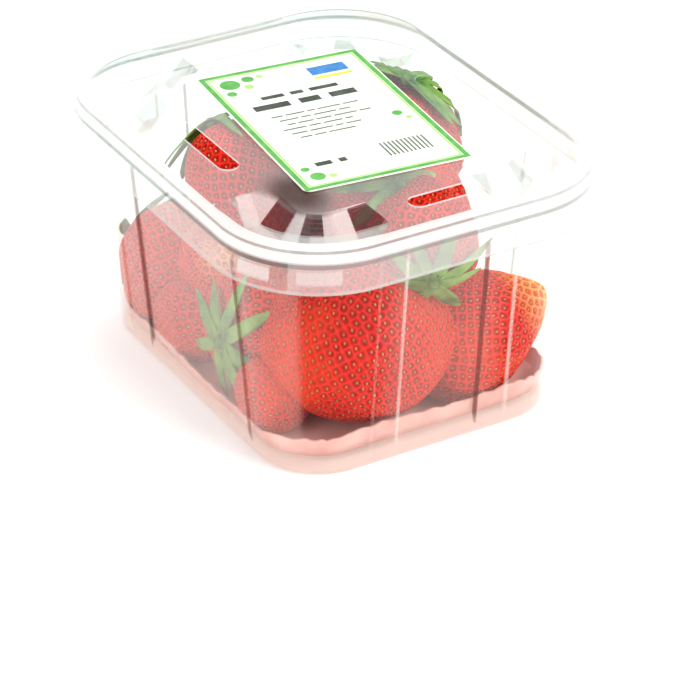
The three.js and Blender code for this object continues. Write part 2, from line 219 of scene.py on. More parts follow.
softbox("softbox_front_right", (0.5, -0.6, 0.68), distance=1.2, width=0.9, height=0.6, watts=14)
softbox("softbox_left_fill", (-0.95, -0.3, 0.45), distance=1.3, width=0.8, height=0.8, watts=8)
softbox("softbox_overhead", (0.15, 0.25, 1.0), distance=1.3, width=1.1, height=0.9, watts=10)

# %% [markdown]
# The camera stands where the photograph's did: the edges of the lid and the foot fix its place to
# within a millimetre or so. Its long lens and its small shift keep the pack where it is in the frame.

# %% Camera
FRAME_PIXELS = 700
FOCAL_PIXELS = 3114.55
CAMERA_DISTANCE = 0.79147
CAMERA_AZIMUTH = -30.08
CAMERA_ELEVATION = 30.80
ORIGIN_PIXEL_X = 329.4
ORIGIN_PIXEL_Y = 352.07
SENSOR = 36.0

camera_data = bpy.data.cameras.new("camera")
camera_data.sensor_width = SENSOR
camera_data.lens = FOCAL_PIXELS / FRAME_PIXELS * SENSOR
camera_data.shift_x = (FRAME_PIXELS / 2 - ORIGIN_PIXEL_X) / FRAME_PIXELS
camera_data.shift_y = (ORIGIN_PIXEL_Y - FRAME_PIXELS / 2) / FRAME_PIXELS
camera_data.clip_start = 0.05
camera = bpy.data.objects.new("camera", camera_data)
azimuth = math.radians(CAMERA_AZIMUTH)
elevation = math.radians(CAMERA_ELEVATION)
back = Vector((
    math.sin(azimuth) * math.cos(elevation),
    -math.cos(azimuth) * math.cos(elevation),
    math.sin(elevation),
))
camera.location = back * CAMERA_DISTANCE
camera.rotation_mode = "QUATERNION"
camera.rotation_quaternion = (-back).to_track_quat("-Z", "Y")
bpy.context.scene.collection.objects.link(camera)
bpy.context.scene.camera = camera

# %% [markdown]
# Clear film lets most light through, mirrors a little more of it the flatter it is looked along,
# and where fruit has breathed on it a fine mist makes it milky. So the shader is a mix: a
# see-through part, a little white for the mist, partly lit and partly a painted glow, and a mirror
# part that grows steeply towards the edge of sight. The mist is a number painted on each mesh,
# because some corners stay clear; it also carries painted highlights, and a second painted
# number, the shade, carries painted shade.

# %% Clear film
bpy.context.scene.cycles.transparent_max_bounces = 32
bpy.context.scene.view_settings.view_transform = "Standard"
bpy.context.scene.view_settings.look = "None"

# Where the lid's mist thins out, and how much is left there
MIST_THINS_BY = 30 * MM
THIN_MIST = 0.25
# The painted shadow of the label over the dark gap between the fruit, seen through the lid: its place, its
# half sizes, its full middle, its haze and its shadow
GAP_SHADOW_MIDDLE = (-25.5 * MM, -29.0 * MM, 65.4 * MM)
GAP_SHADOW_HALF = (11.0 * MM, 17.0 * MM, 1.6 * MM)
GAP_SHADOW_FULL_TO = 0.25
GAP_SHADOW_HAZE = 0.34
GAP_SHADOW = "c2b5af"
# The painted shade at which a thin line of film looks neutral grey; more is the dark of the fruit
GREY_LINE = 0.25
# Part of the mist's white answers to the lamps; the rest is a painted glow that shines evenly without a lamp
MIST_LIT = 0.4
MIST_PAINTED_GLOW = 0.6


def lit_share(hex_value):
    """A colour dimmed to the part of the mist that the lamps light."""
    return [MIST_LIT * share for share in linear(hex_value)[:3]] + [1.0]


def thinned_mist(material, haze):
    """The mist thins out along the diagonal to the lid's far right corner."""
    side = add_node(
        material, "ShaderNodeVectorMath", {"operation": "DOT_PRODUCT", 1: (1, 1, 0)}, {0: own_place(material)}
    )
    left = add_node(
        material, "ShaderNodeMapRange",
        {"From Min": 0.0, "From Max": MIST_THINS_BY, "To Min": 1.0, "To Max": THIN_MIST},
        {"Value": side.outputs["Value"]},
    )
    return add_node(
        material, "ShaderNodeMath", {"operation": "MULTIPLY"}, {0: haze, 1: left.outputs["Result"]}
    ).outputs[0]


def gap_shadow_share(material):
    """1 in the painted shadow of the label over the dark gap between the fruit by the label's near corner,
    falling to 0 round it.
    """
    scaled = [1 / size for size in GAP_SHADOW_HALF]
    shifted = [-place / size for place, size in zip(GAP_SHADOW_MIDDLE, GAP_SHADOW_HALF)]
    away = add_node(
        material, "ShaderNodeVectorMath", {"operation": "MULTIPLY_ADD", 1: scaled, 2: shifted},
        {0: own_place(material)},
    )
    far = add_node(material, "ShaderNodeVectorMath", {"operation": "LENGTH"}, {0: away.outputs["Vector"]})
    gap = add_node(
        material, "ShaderNodeMapRange", {
            "interpolation_type": "SMOOTHSTEP", "From Min": GAP_SHADOW_FULL_TO, "From Max": 1.0,
            "To Min": 1.0, "To Max": 0.0,
        }, {"Value": far.outputs["Value"]},
    )
    return gap.outputs["Result"]


def clear_film(name, mist, mist_colour, shade_colour, head_on_mirror, shadow_haze_colour=None):
    """Thermoformed clear sheet. Two painted numbers rule it: mist brings its white, real haze and painted
    highlights, and shade its painted dark.
    """
    material, output = new_material(name)
    link = material.node_tree.links.new
    painted = add_node(material, "ShaderNodeAttribute", {"attribute_name": "mist"})
    haze = add_node(
        material, "ShaderNodeMath", {"operation": "MULTIPLY", "use_clamp": True, 1: mist},
        {0: painted.outputs["Fac"]},
    ).outputs[0]
    # The shade number darkens what shows through the film: painted shade and painted reflections of the dark
    # fruit
    shaded = add_node(material, "ShaderNodeAttribute", {"attribute_name": "shade"})
    tone = add_node(material, "ShaderNodeValToRGB", links={"Fac": shaded.outputs["Fac"]})
    stops = tone.color_ramp.elements
    stops[0].color = linear("fbfdfc")
    stops[1].color = linear(shade_colour)
    stops.new(GREY_LINE).color = linear("c6cbc9")
    through = add_node(material, "ShaderNodeBsdfTransparent", {}, {"Color": tone.outputs["Color"]})
    # The milky white: lit by the lamps in part, and in part an emission that is a painted glow
    milk_and_painted_glow = add_node(material, "ShaderNodeBsdfPrincipled", {
        "Base Color": lit_share(mist_colour), "Roughness": 0.7, "Specular IOR Level": 0.1,
        "Emission Color": linear(mist_colour), "Emission Strength": MIST_PAINTED_GLOW,
    })
    # Painted shadow: near the label's near corner the film's haze turns brown-grey and what shows through it
    # is darkened
    if shadow_haze_colour:
        gap = gap_shadow_share(material)
        haze = add_node(
            material, "ShaderNodeMix", {"data_type": "FLOAT", 3: GAP_SHADOW_HAZE},
            {0: gap, 2: thinned_mist(material, haze)},
        ).outputs[0]
        for socket, share_of in (("Base Color", lit_share), ("Emission Color", linear)):
            mixed = add_node(
                material, "ShaderNodeMix",
                {"data_type": "RGBA", 6: share_of(mist_colour), 7: share_of(shadow_haze_colour)}, {0: gap},
            )
            link(mixed.outputs[2], milk_and_painted_glow.inputs[socket])
        shadow = add_node(
            material, "ShaderNodeMix",
            {"data_type": "RGBA", "blend_type": "MULTIPLY", 7: linear(GAP_SHADOW)},
            {0: gap, 6: tone.outputs["Color"]},
        )
        link(shadow.outputs[2], through.inputs["Color"])
    sheet = add_node(
        material, "ShaderNodeMixShader", {}, {0: haze, 1: through.outputs[0], 2: milk_and_painted_glow.outputs[0]}
    )
    facing = add_node(material, "ShaderNodeLayerWeight", {"Blend": 0.5})
    steep = add_node(
        material, "ShaderNodeMath", {"operation": "POWER", 1: 5.0}, {0: facing.outputs["Facing"]}
    )
    grazing = add_node(
        material, "ShaderNodeMath",
        {"operation": "MULTIPLY_ADD", 1: 1 - head_on_mirror, 2: head_on_mirror}, {0: steep.outputs[0]},
    )
    gloss = add_node(
        material, "ShaderNodeBsdfAnisotropic", {"Color": linear("ffffff"), "Roughness": 0.05}
    )
    mirror = add_node(
        material, "ShaderNodeMixShader", {},
        {0: grazing.outputs[0], 1: sheet.outputs[0], 2: gloss.outputs[0]},
    )
    return finish_material(material, output, mirror.outputs[0])


# The tray's film is painted pinker, in its mist and its shade, for the red light of the fruit that stands
# right against it
tray_film = clear_film("clear PET sheet, thermoformed tray", 0.085, "ffdcd2", "cc8480", 0.004)
# The lid's film is whiter, mirrors more, and carries a painted shadow over the dark gap between the fruit
# below it
lid_film = clear_film("clear PET sheet, thermoformed lid", 0.07, "fbf6f3", "cc7886", 0.008, "6c5a54")

# %% [markdown]
# The tray and the lid are both rings carried up level by level. A ring starts as a rectangle with
# its corners bevelled round. Each new level extrudes the last ring's edges and moves the new
# vertices to their radius and height. Planes cut the straight sides first, so that ribs and
# pockets have vertices exactly where their edges are.

# %% Rings round the pack
ARC_STEPS = 20
# A way this close to an axis belongs to a straight side, not to a corner's arc
STRAIGHT = 0.999


def start_ring(bm, radius, height, cuts_x, cuts_y):
    """The edges of a rounded rectangle, cut at the planes x = cuts_x and y = cuts_y."""
    bmesh.ops.create_grid(bm, x_segments=1, y_segments=1, size=1.0)
    size = (CORE_X + radius, CORE_Y + radius, 1.0)
    bmesh.ops.scale(bm, vec=size, verts=bm.verts[:])
    bmesh.ops.bevel(
        bm, geom=bm.verts[:], offset=radius, offset_type="OFFSET", segments=ARC_STEPS,
        profile=0.5, affect="VERTICES", material=-1,
    )
    bmesh.ops.delete(bm, geom=bm.faces[:], context="FACES_ONLY")
    for axis, cuts in ((0, cuts_x), (1, cuts_y)):
        normal = Vector((axis == 0, axis == 1, 0))
        for cut in cuts:
            bmesh.ops.bisect_plane(
                bm, geom=bm.verts[:] + bm.edges[:], dist=1e-7, plane_co=normal * cut, plane_no=normal
            )
    place_ring(bm.verts[:], radius, height)
    return bm.edges[:]


def foot_and_way(point):
    """The nearest point of the core rectangle, and the way outward from it."""
    foot = Vector((
        min(max(point.x, -CORE_X), CORE_X),
        min(max(point.y, -CORE_Y), CORE_Y),
    ))
    return foot, (point.xy - foot).normalized()


def place_ring(verts, radius, height, bulge=None):
    """Moves vertices to a radius and height; bulge(foot, way) adds to the radius."""
    for vert in verts:
        foot, way = foot_and_way(vert.co)
        reach = radius + (bulge(foot, way) if bulge else 0.0)
        vert.co = (foot.x + way.x * reach, foot.y + way.y * reach, height)


def next_ring(bm, ring, radius, height, bulge=None):
    """Extrudes a ring of edges to the next level, and returns the new ring."""
    made = bmesh.ops.extrude_edge_only(bm, edges=ring)["geom"]
    place_ring([g for g in made if isinstance(g, bmesh.types.BMVert)], radius, height, bulge)
    return [g for g in made if isinstance(g, bmesh.types.BMEdge)]


def run_past_corner(foot, way):
    """How far along a straight side a point is from the nearest corner's arc; 0 on the arc."""
    if abs(way.x) > STRAIGHT:
        return CORE_Y - abs(foot.y)
    if abs(way.y) > STRAIGHT:
        return CORE_X - abs(foot.x)
    return 0.0


# %% [markdown]
# The tray's walls lean out as they rise, so that trays nest. Each side has a shallow panel in its
# middle between two narrow creases, and a rounded rib beyond each crease, all of them there to
# stiffen a sheet that is less than half a millimetre thick. The profile below gives the bulge of
# one side as a function of the place along it.

# %% Tray: the ribs of a wall
LONG_CREASE = 20.5 * MM
LONG_RIB = 31.5 * MM
SHORT_CREASE = 11.0 * MM
SHORT_RIB = 19.0 * MM
PANEL_DEPTH = 0.7 * MM
RIB_HEIGHT = 0.55 * MM
RIB_HALF = 1.0 * MM
CREASE_HALF = 0.55 * MM


def wall_cuts(crease, rib):
    """Where the planes cut one side: round each rib and at both edges of each crease."""
    cuts = []
    for side in (-1, 1):
        for step in (-1.0, -0.6, -0.2, 0.2, 0.6, 1.0):
            cuts.append(side * rib + step * RIB_HALF)
        for step in (-1.0, 0.0, 1.0):
            cuts.append(side * crease + step * CREASE_HALF)
    return cuts


def wall_bulge(foot, way):
    """The bulge of the wall at a place: a set-back panel, two creases and two ribs."""
    if abs(way.x) > STRAIGHT:
        along, crease, rib = abs(foot.y), LONG_CREASE, LONG_RIB
    elif abs(way.y) > STRAIGHT:
        along, crease, rib = abs(foot.x), SHORT_CREASE, SHORT_RIB
    else:
        return 0.0
    inside = (crease - along) / CREASE_HALF
    panel = -PANEL_DEPTH * min(max(0.5 + inside / 2, 0.0), 1.0)
    across = (along - rib) / RIB_HALF
    ridge = RIB_HEIGHT * (0.5 + 0.5 * math.cos(math.pi * across)) if abs(across) < 1 else 0.0
    return panel + ridge


# %% [markdown]
# The levels run from the middle of the floor outward: a raised panel, the flat ring that the pack
# stands on, a small round at the foot, the wall, and the flange with its turned-down edge. The
# sheet is then given its thickness inward, so that the outside stays the measured one.

# %% Tray: the levels
FLOOR_PANEL_R = 8.5 * MM
STAND_R = 9.5 * MM
FLOOR_RISE = 1.6 * MM
FOOT_ROUND = 2.2 * MM
RIB_FADE = 3.0 * MM
RIB_FOOT = 3.0 * MM
RIB_HEAD = 61.0 * MM
LINE_END = 55.5 * MM
FLANGE_LIP = 2.0 * MM
FOOT_STEPS = 8


def make_tray():
    """The tray as a single skin, from the middle of its floor out to the edge of its flange."""
    bm = bmesh.new()
    ring = start_ring(
        bm, FLOOR_PANEL_R, FLOOR_RISE,
        wall_cuts(SHORT_CREASE, SHORT_RIB), wall_cuts(LONG_CREASE, LONG_RIB),
    )
    bmesh.ops.contextual_create(bm, geom=ring)
    ring = next_ring(bm, ring, STAND_R, 0.0)
    ring = next_ring(bm, ring, FOOT_R, 0.0)
    foot_reach = wall_radius(FOOT_ROUND) - FOOT_R
    for step in range(1, FOOT_STEPS + 1):
        turn = math.radians(90 / FOOT_STEPS * step)
        radius = FOOT_R + foot_reach * math.sin(turn)
        ring = next_ring(bm, ring, radius, FOOT_ROUND * (1 - math.cos(turn)))
    for height, share in (
        (RIB_FOOT, 0.0), (RIB_FOOT + RIB_FADE / 3, 0.35), (RIB_FOOT + RIB_FADE, 1.0),
        (LINE_END - 1 * MM, 1.0), (LINE_END, 1.0),
        (RIB_HEAD - RIB_FADE, 1.0), (RIB_HEAD - RIB_FADE / 3, 0.35), (RIB_HEAD, 0.0),
    ):
        ring = next_ring(
            bm, ring, wall_radius(height), height,
            lambda foot, way, share=share: share * wall_bulge(foot, way),
        )
    ring = next_ring(bm, ring, wall_radius(TRAY_TOP) - 0.2 * MM, TRAY_TOP - 0.6 * MM)
    ring = next_ring(bm, ring, wall_radius(TRAY_TOP) + 0.3 * MM, TRAY_TOP)
    ring = next_ring(bm, ring, FLANGE_R - 0.4 * MM, TRAY_TOP)
    ring = next_ring(bm, ring, FLANGE_R, TRAY_TOP - 0.5 * MM)
    next_ring(bm, ring, FLANGE_R, TRAY_TOP - FLANGE_LIP)
    bmesh.ops.recalc_face_normals(bm, faces=bm.faces[:])
    return bm


def give_thickness(bm, thickness):
    """Turns a cup of sheet into a wall: the new skin lies inside, so the outside stays as measured."""
    if bm.calc_volume(signed=True) < 0:
        bmesh.ops.reverse_faces(bm, faces=bm.faces[:])
    bmesh.ops.solidify(bm, geom=bm.faces[:], thickness=thickness)
    return bm


# %% [markdown]
# Two numbers are painted on the film. The mist says how white it is, the shade how dark. Both
# follow what the real pack shows: mist where the fruit leans on a wall, clear corners, painted
# highlights on a few creases that catch the light and painted shade on a few that mirror the dark
# of the fruit.

# %% Tray: what each part of the film shows
def paint(piece, name, share):
    """Paints one number at each vertex of a piece, as share(place) gives it."""
    attribute = piece.data.attributes.new(name, "FLOAT", "POINT")
    for i, vert in enumerate(piece.data.vertices):
        attribute.data[i].value = share(vert.co)


def paint_faces(piece, name, share):
    """Paints one number on each face, so that its edges stay crisp, as share(middle, normal) gives it."""
    attribute = piece.data.attributes.new(name, "FLOAT", "FACE")
    for i, face in enumerate(piece.data.polygons):
        attribute.data[i].value = share(face.center, face.normal)


CREASE_HIGHLIGHT = 3.6
# The lines of each side: place along it, painted highlight that makes it bright, painted shade that makes it
# dark
LONG_LINES = ((-LONG_RIB, CREASE_HIGHLIGHT, 0.0), (-LONG_CREASE, 0.0, 0.6), (LONG_CREASE, CREASE_HIGHLIGHT, 0.0),
              (LONG_RIB, 0.0, 0.7))
SHORT_LINES = ((-SHORT_CREASE, 6.0, 0.0), (SHORT_CREASE, 0.0, 1.0), (SHORT_RIB, CREASE_HIGHLIGHT, 0.0))
LINE_HALF = 0.25 * MM
LINE_TOP = TRAY_TOP - 6 * MM
LINE_FOOT = 4 * MM
SHADE_TOP = 55 * MM
FAR_SHADE = 0.3
FOOT_MIST, LONG_SIDE_MIST, SHORT_SIDE_MIST, CLEAR_MIST = 3.0, 0.75, 0.8, 0.03
FOOT_MIST_TOP = 5 * MM
MIST_PAST_CREASE = 1.2 * MM
CLEAR_CORNER_FROM = math.radians(50)
CLEAR_FADE = math.radians(6)


def line_at(point):
    """The painted highlight and the painted shade of the crease or rib that a point lies on; none elsewhere.
    """
    foot, way = foot_and_way(point)
    if run_past_corner(foot, way) <= 0 or not LINE_FOOT < point.z < LINE_TOP:
        return None
    along, lines = -foot.x * way.y, SHORT_LINES
    if abs(way.x) > STRAIGHT:
        along, lines = foot.y * way.x, LONG_LINES
    # A line's bright number is a painted highlight, its dark number painted shade
    for place, bright, dark in lines:
        if abs(along - place) < LINE_HALF:
            return bright, dark
    return None


def tray_mist_and_highlights(point):
    """Misty on the sides' middles and on the long half of each corner, clear on the rest, with painted
    highlights on some creases and ribs.
    """
    foot, way = foot_and_way(point)
    line = line_at(point)
    if line and line[0]:
        return line[0]
    if point.z < FOOT_MIST_TOP:
        return FOOT_MIST
    if abs(way.x) > STRAIGHT:
        return LONG_SIDE_MIST
    if run_past_corner(foot, way) > 0:
        edge = (abs(foot.x) - SHORT_CREASE - MIST_PAST_CREASE) / CREASE_HALF
        return min(max(0.5 - edge / 2, CLEAR_MIST), SHORT_SIDE_MIST)
    turn = math.atan2(abs(way.y), abs(way.x))
    return min(max((CLEAR_CORNER_FROM - turn) / CLEAR_FADE, CLEAR_MIST), 1.0)


def tray_shade(point):
    """Painted shade: some ribs and creases show what stands behind them darker, most of all on the near
    sides.
    """
    line = line_at(point)
    if not line or point.z > SHADE_TOP:
        return 0.0
    return line[1] if point.x + point.y < 0 else FAR_SHADE * line[1]


tray = make_piece("tray_shell", give_thickness(make_tray(), SHEET), tray_film, "tray", 12)
paint(tray, "mist", tray_mist_and_highlights)
paint(tray, "shade", tray_shade)

# %% [markdown]
# The lid presses over the tray's flange. From its lip it rises in a leaning skirt to a fine crease,
# turns over a rounded shoulder to a flat rim, and steps down to a flat panel that carries the label.
# An L-shaped pocket is pressed into each corner of the panel, and the band outside the pocket
# slopes up to the rim.

# %% Lid: sizes
RIM_OUTER_R = 25.5 * MM
RIM_INNER_R = 23.0 * MM
PANEL_R = 22.5 * MM
SKIRT_TOP_R = 26.6 * MM
SKIRT_TOP_Z = lid_high.z - 3.6 * MM
SKIRT_FOOT_R = 27.4 * MM
LIP_Z = lid_low.z
SKIRT_FOOT_Z = LIP_Z + 0.6 * MM
POCKET_IN_R = 6.4 * MM
POCKET_OUT_R = 17.7 * MM
POCKET_FLOOR_IN_R = 12.0 * MM
POCKET_FLOOR_OUT_R = 15.8 * MM
POCKET_DEPTH = 5.9 * MM
POCKET_REACH = 11.1 * MM
POCKET_FLOOR_REACH = 6.2 * MM
POCKET_SHORTEN = 2.4 * MM
POCKET_EDGE = 0.28 * MM
LUG_LOW = SKIRT_FOOT_Z + 1.4 * MM
LUG_HIGH = SKIRT_TOP_Z - 1.0 * MM
RIPPLES = 7
RIPPLE_DEPTH = 0.12 * MM


def pocket_depth(foot, way, radius):
    """How deep the panel is pressed at a place: walls that lean in to a flat floor."""
    run = run_past_corner(foot, way)
    shorter = POCKET_SHORTEN if abs(way.y) > STRAIGHT and run > 0 else 0.0
    sides = (
        (radius - POCKET_IN_R) / (POCKET_FLOOR_IN_R - POCKET_IN_R),
        (POCKET_OUT_R - radius) / (POCKET_OUT_R - POCKET_FLOOR_OUT_R),
        (POCKET_REACH - shorter - run) / (POCKET_REACH - POCKET_FLOOR_REACH),
    )
    return POCKET_DEPTH * min(max(min(sides), 0.0), 1.0)


def ramp_rise(foot, way, radius):
    """The rise of the band between a pocket and the rim; none along the sides' middles."""
    if radius < POCKET_OUT_R:
        return 0.0
    run = run_past_corner(foot, way)
    share = min(max((POCKET_REACH - 1.0 * MM - run) / (POCKET_REACH - 2.0 * MM), 0.0), 1.0)
    climb = (radius - POCKET_OUT_R) / (RIM_INNER_R - POCKET_OUT_R)
    return share * climb * (RIM_TOP - PANEL_Z) * 0.95


# %% Lid: the levels
def panel_levels():
    """The radii of the panel's rings, from the rim inward."""
    between = np.linspace(POCKET_FLOOR_IN_R, POCKET_IN_R, 2 * RIPPLES + 1)[1:-1]
    return [
        PANEL_R, 20.1 * MM, POCKET_OUT_R, POCKET_FLOOR_OUT_R, POCKET_FLOOR_IN_R,
        *between, POCKET_IN_R + POCKET_EDGE, POCKET_IN_R, 3.0 * MM,
    ]


def press_panel(ring_verts, radius, ripple):
    """Lowers a ring's vertices into the pockets; the rounded inner wall is lightly rippled."""
    for vert in ring_verts:
        foot, way = foot_and_way(vert.co)
        depth = pocket_depth(foot, way, radius)
        on_arc = run_past_corner(foot, way) == 0.0
        vert.co.z = PANEL_Z - depth + ramp_rise(foot, way, radius)
        if ripple and on_arc:
            vert.co.z += ripple


def end_cuts(core, shorten):
    """Planes at both ends of the pockets and of their floors, along one side."""
    cuts = []
    for side in (-1, 1):
        for reach in (POCKET_REACH, POCKET_FLOOR_REACH):
            cuts.append(side * (core - (reach - shorten)))
    return cuts


# %% Lid: lugs, tab and vent slots
LUG_HEIGHT = 0.6 * MM
# Where the lugs and the tab are on a corner's arc, in degrees from the long side
LUG_TURNS = ((17, 38), (49, 71))
TAB_TURNS = (38, 52)
TAB_REACH = 5.6 * MM
SLOT_HALF = 2.7 * MM
SLOT_SHIFT = 3.6 * MM
LONG_SLOT = (CORE_X + 9.6 * MM, 11.5 * MM)
SHORT_SLOT = (CORE_Y + 12.1 * MM, 6.3 * MM)


def corner_turn(foot, way):
    """The angle of a place on a corner's arc, in degrees from the long side; none on a side."""
    if run_past_corner(foot, way) > 0:
        return None
    return math.degrees(math.atan2(abs(way.y), abs(way.x)))


def lug_bulge(foot, way):
    """Two low lugs stand out of the skirt at each corner."""
    turn = corner_turn(foot, way)
    on_lug = turn is not None and any(low < turn < high for low, high in LUG_TURNS)
    return LUG_HEIGHT if on_lug else 0.0


def tab_bulge(foot, way):
    """One corner's lip runs out into a small tab to lift the lid by."""
    turn = corner_turn(foot, way)
    low, high = TAB_TURNS
    return TAB_REACH if turn is not None and low < turn < high and way.x > 0 > way.y else 0.0


def cut_slot(bm, middle, half_run, upright):
    """Cuts a round-ended slot through the panel: each facet of its outline is one cutting plane."""
    way = Vector((0, 1, 0)) if upright else Vector((1, 0, 0))
    side = Vector((-way.y, way.x, 0))
    planes = []
    for end in (1, -1):
        for step in range(-4, 5):
            turn = math.radians(22.5 * step)
            normal = way * end * math.cos(turn) + side * math.sin(turn)
            planes.append((middle + way * end * half_run + normal * SLOT_HALF, normal))

    def near(face, margin):
        gap = face.calc_center_median() - middle
        return (
            face.calc_center_median().z > PANEL_Z - 0.5 * MM
            and abs(gap.dot(way)) < half_run + SLOT_HALF + margin
            and abs(gap.dot(side)) < SLOT_HALF + margin
        )

    for spot, normal in planes:
        faces = [f for f in bm.faces if near(f, 16 * MM)]
        geometry = set(faces)
        for face in faces:
            geometry.update(face.edges)
            geometry.update(face.verts)
        bmesh.ops.bisect_plane(bm, geom=list(geometry), dist=1e-6, plane_co=spot, plane_no=normal)
    inside = [
        f for f in bm.faces
        if near(f, 0) and all((f.calc_center_median() - spot).dot(normal) < 0 for spot, normal in planes)
    ]
    bmesh.ops.delete(bm, geom=inside, context="FACES")


def make_lid():
    """The lid as a single skin, from the edge of its lip in to the middle of its panel."""
    bm = bmesh.new()
    ring = start_ring(
        bm, LIP_R, LIP_Z, end_cuts(CORE_X, POCKET_SHORTEN), end_cuts(CORE_Y, 0.0)
    )
    place_ring(bm.verts[:], LIP_R, LIP_Z, tab_bulge)
    ring = next_ring(bm, ring, LIP_R, LIP_Z + 0.35 * MM, tab_bulge)
    ring = next_ring(bm, ring, SKIRT_FOOT_R, SKIRT_FOOT_Z)
    ring = next_ring(bm, ring, SKIRT_FOOT_R - 0.15 * MM, LUG_LOW)
    ring = next_ring(bm, ring, SKIRT_FOOT_R - 0.2 * MM, LUG_LOW + 0.4 * MM, lug_bulge)
    ring = next_ring(bm, ring, SKIRT_TOP_R + 0.2 * MM, LUG_HIGH - 0.4 * MM, lug_bulge)
    for radius, height in (
        (SKIRT_TOP_R + 0.13 * MM, LUG_HIGH), (SKIRT_TOP_R, SKIRT_TOP_Z),
        (SKIRT_TOP_R - 0.25 * MM, SKIRT_TOP_Z + 0.25 * MM), (26.3 * MM, RIM_TOP - 1.8 * MM),
        (26.15 * MM, RIM_TOP - 1.0 * MM), (25.8 * MM, RIM_TOP - 0.4 * MM),
        (25.3 * MM, RIM_TOP - 0.08 * MM), (24.7 * MM, RIM_TOP),
        (RIM_INNER_R + 0.15 * MM, RIM_TOP), (RIM_INNER_R - 0.1 * MM, RIM_TOP - 0.2 * MM),
    ):
        ring = next_ring(bm, ring, radius, height)
    for i, radius in enumerate(panel_levels()):
        ring = next_ring(bm, ring, radius, PANEL_Z)
        verts = {vert for edge in ring for vert in edge.verts}
        ripple = RIPPLE_DEPTH * (1 if i % 2 else -1) if 4 < i < 4 + 2 * RIPPLES else 0.0
        press_panel(verts, radius, ripple)
    bmesh.ops.contextual_create(bm, geom=ring)
    for side in (-1, 1):
        cut_slot(bm, Vector((side * LONG_SLOT[0], -side * SLOT_SHIFT, PANEL_Z)), LONG_SLOT[1], True)
        cut_slot(bm, Vector((-side * SLOT_SHIFT, side * SHORT_SLOT[0], PANEL_Z)), SHORT_SLOT[1], False)
    bmesh.ops.recalc_face_normals(bm, faces=bm.faces[:])
    return bm


# %% Lid: what each facet shows
# How misty each kind of place is; on lugs, fine edges, creases, the front of the skirt and the pocket facets
# the white is a painted highlight
FACET_MIST_AND_REFLECTION = {1: 4.4, 0: 1.6, -1: 0.5}
PLAIN_MIST, RAMP_MIST, FRONT_SKIRT_SHEEN, SHOULDER_MIST = 1.2, 1.6, 3.0, 3.5
LIP_MIST, LUG_HIGHLIGHT, SKIRT_CREASE_HIGHLIGHT, POCKET_EDGE_HIGHLIGHT, CUT_EDGE_HIGHLIGHT, SHOULDER_EDGE_HIGHLIGHT = 5.0, 5.0, 6.0, 7.0, 9.0, 9.5
# How dark the painted shade is: facets that face away, the long and the short side of the near pocket, its
# ripples
FAR_DARK, LONG_DARK, SHORT_DARK = 0.1, 1.0, 0.8
RIPPLE_DARK = (0.4, 0.85)
# The corners' inner wall is painted light and dark by turns, as reflections of the softbox and of the fruit;
# bounds in degrees from the long side
FACET_BOUNDS = (12, 36, 68)


def pocket_facet(point):
    """1 for a pocket facet painted bright as if it caught the softbox, -1 for one painted dark as if it
    mirrored the fruit, else 0.
    """
    foot, way = foot_and_way(point)
    radius = (point.xy - foot).length
    depth = pocket_depth(foot, way, radius)
    if depth < 0.1 * MM or depth > POCKET_DEPTH - 0.1 * MM:
        return 0
    turn = corner_turn(foot, way)
    if radius > POCKET_FLOOR_OUT_R:
        return 0
    if radius > POCKET_FLOOR_IN_R or turn is None:
        on_long_side = abs(way.x) > STRAIGHT
        end_wall = run_past_corner(foot, way) > POCKET_FLOOR_REACH - POCKET_SHORTEN * (not on_long_side)
        return 1 if on_long_side == end_wall else -1
    low, middle, high = FACET_BOUNDS
    return -1 if turn < low or middle < turn < high else 1


def lid_mist_and_highlights(point, normal):
    """Fine mist under the panel, and painted highlights: whitish lugs, bright fine edges and bright pocket
    facets.
    """
    foot, way = foot_and_way(point)
    radius = (point.xy - foot).length
    # The lugs' white is a painted highlight
    if LUG_LOW + 0.3 * MM < point.z < LUG_HIGH - 0.3 * MM and lug_bulge(foot, way):
        return LUG_HIGHLIGHT
    if POCKET_OUT_R < radius < RIM_INNER_R - 1 * MM:
        return RAMP_MIST
    # The shoulder: bright bands of painted highlight, with a dimmer band of mist between
    if radius > RIM_INNER_R - 1 * MM and point.z > SKIRT_TOP_Z + 0.2 * MM:
        bright = point.z < RIM_TOP - 1.2 * MM or RIM_TOP - 0.3 * MM < point.z
        return SHOULDER_EDGE_HIGHLIGHT if bright else SHOULDER_MIST
    if point.z > SKIRT_TOP_Z - 0.02 * MM and radius > RIM_INNER_R:
        return SKIRT_CREASE_HIGHLIGHT
    if point.z < SKIRT_FOOT_Z - 0.3 * MM:
        return LIP_MIST
    # Only the front of the skirt is painted brighter, as a painted sheen
    if point.z < SKIRT_TOP_Z and radius > RIM_INNER_R and way.y < -0.7:
        return FRONT_SKIRT_SHEEN
    # Upright cut edges and the pockets' upper edges are painted bright as highlights
    if abs(normal.z) < 0.3 and point.z > PANEL_Z - SHEET and radius < POCKET_FLOOR_OUT_R:
        return CUT_EDGE_HIGHLIGHT
    if POCKET_IN_R < radius < POCKET_IN_R + POCKET_EDGE and pocket_depth(foot, way, radius) > 0:
        return POCKET_EDGE_HIGHLIGHT
    # Pocket facets: painted bright where they would mirror the softbox
    if point.z > PANEL_Z - 7 * MM and radius < RIM_INNER_R:
        return FACET_MIST_AND_REFLECTION[pocket_facet(point)]
    return PLAIN_MIST


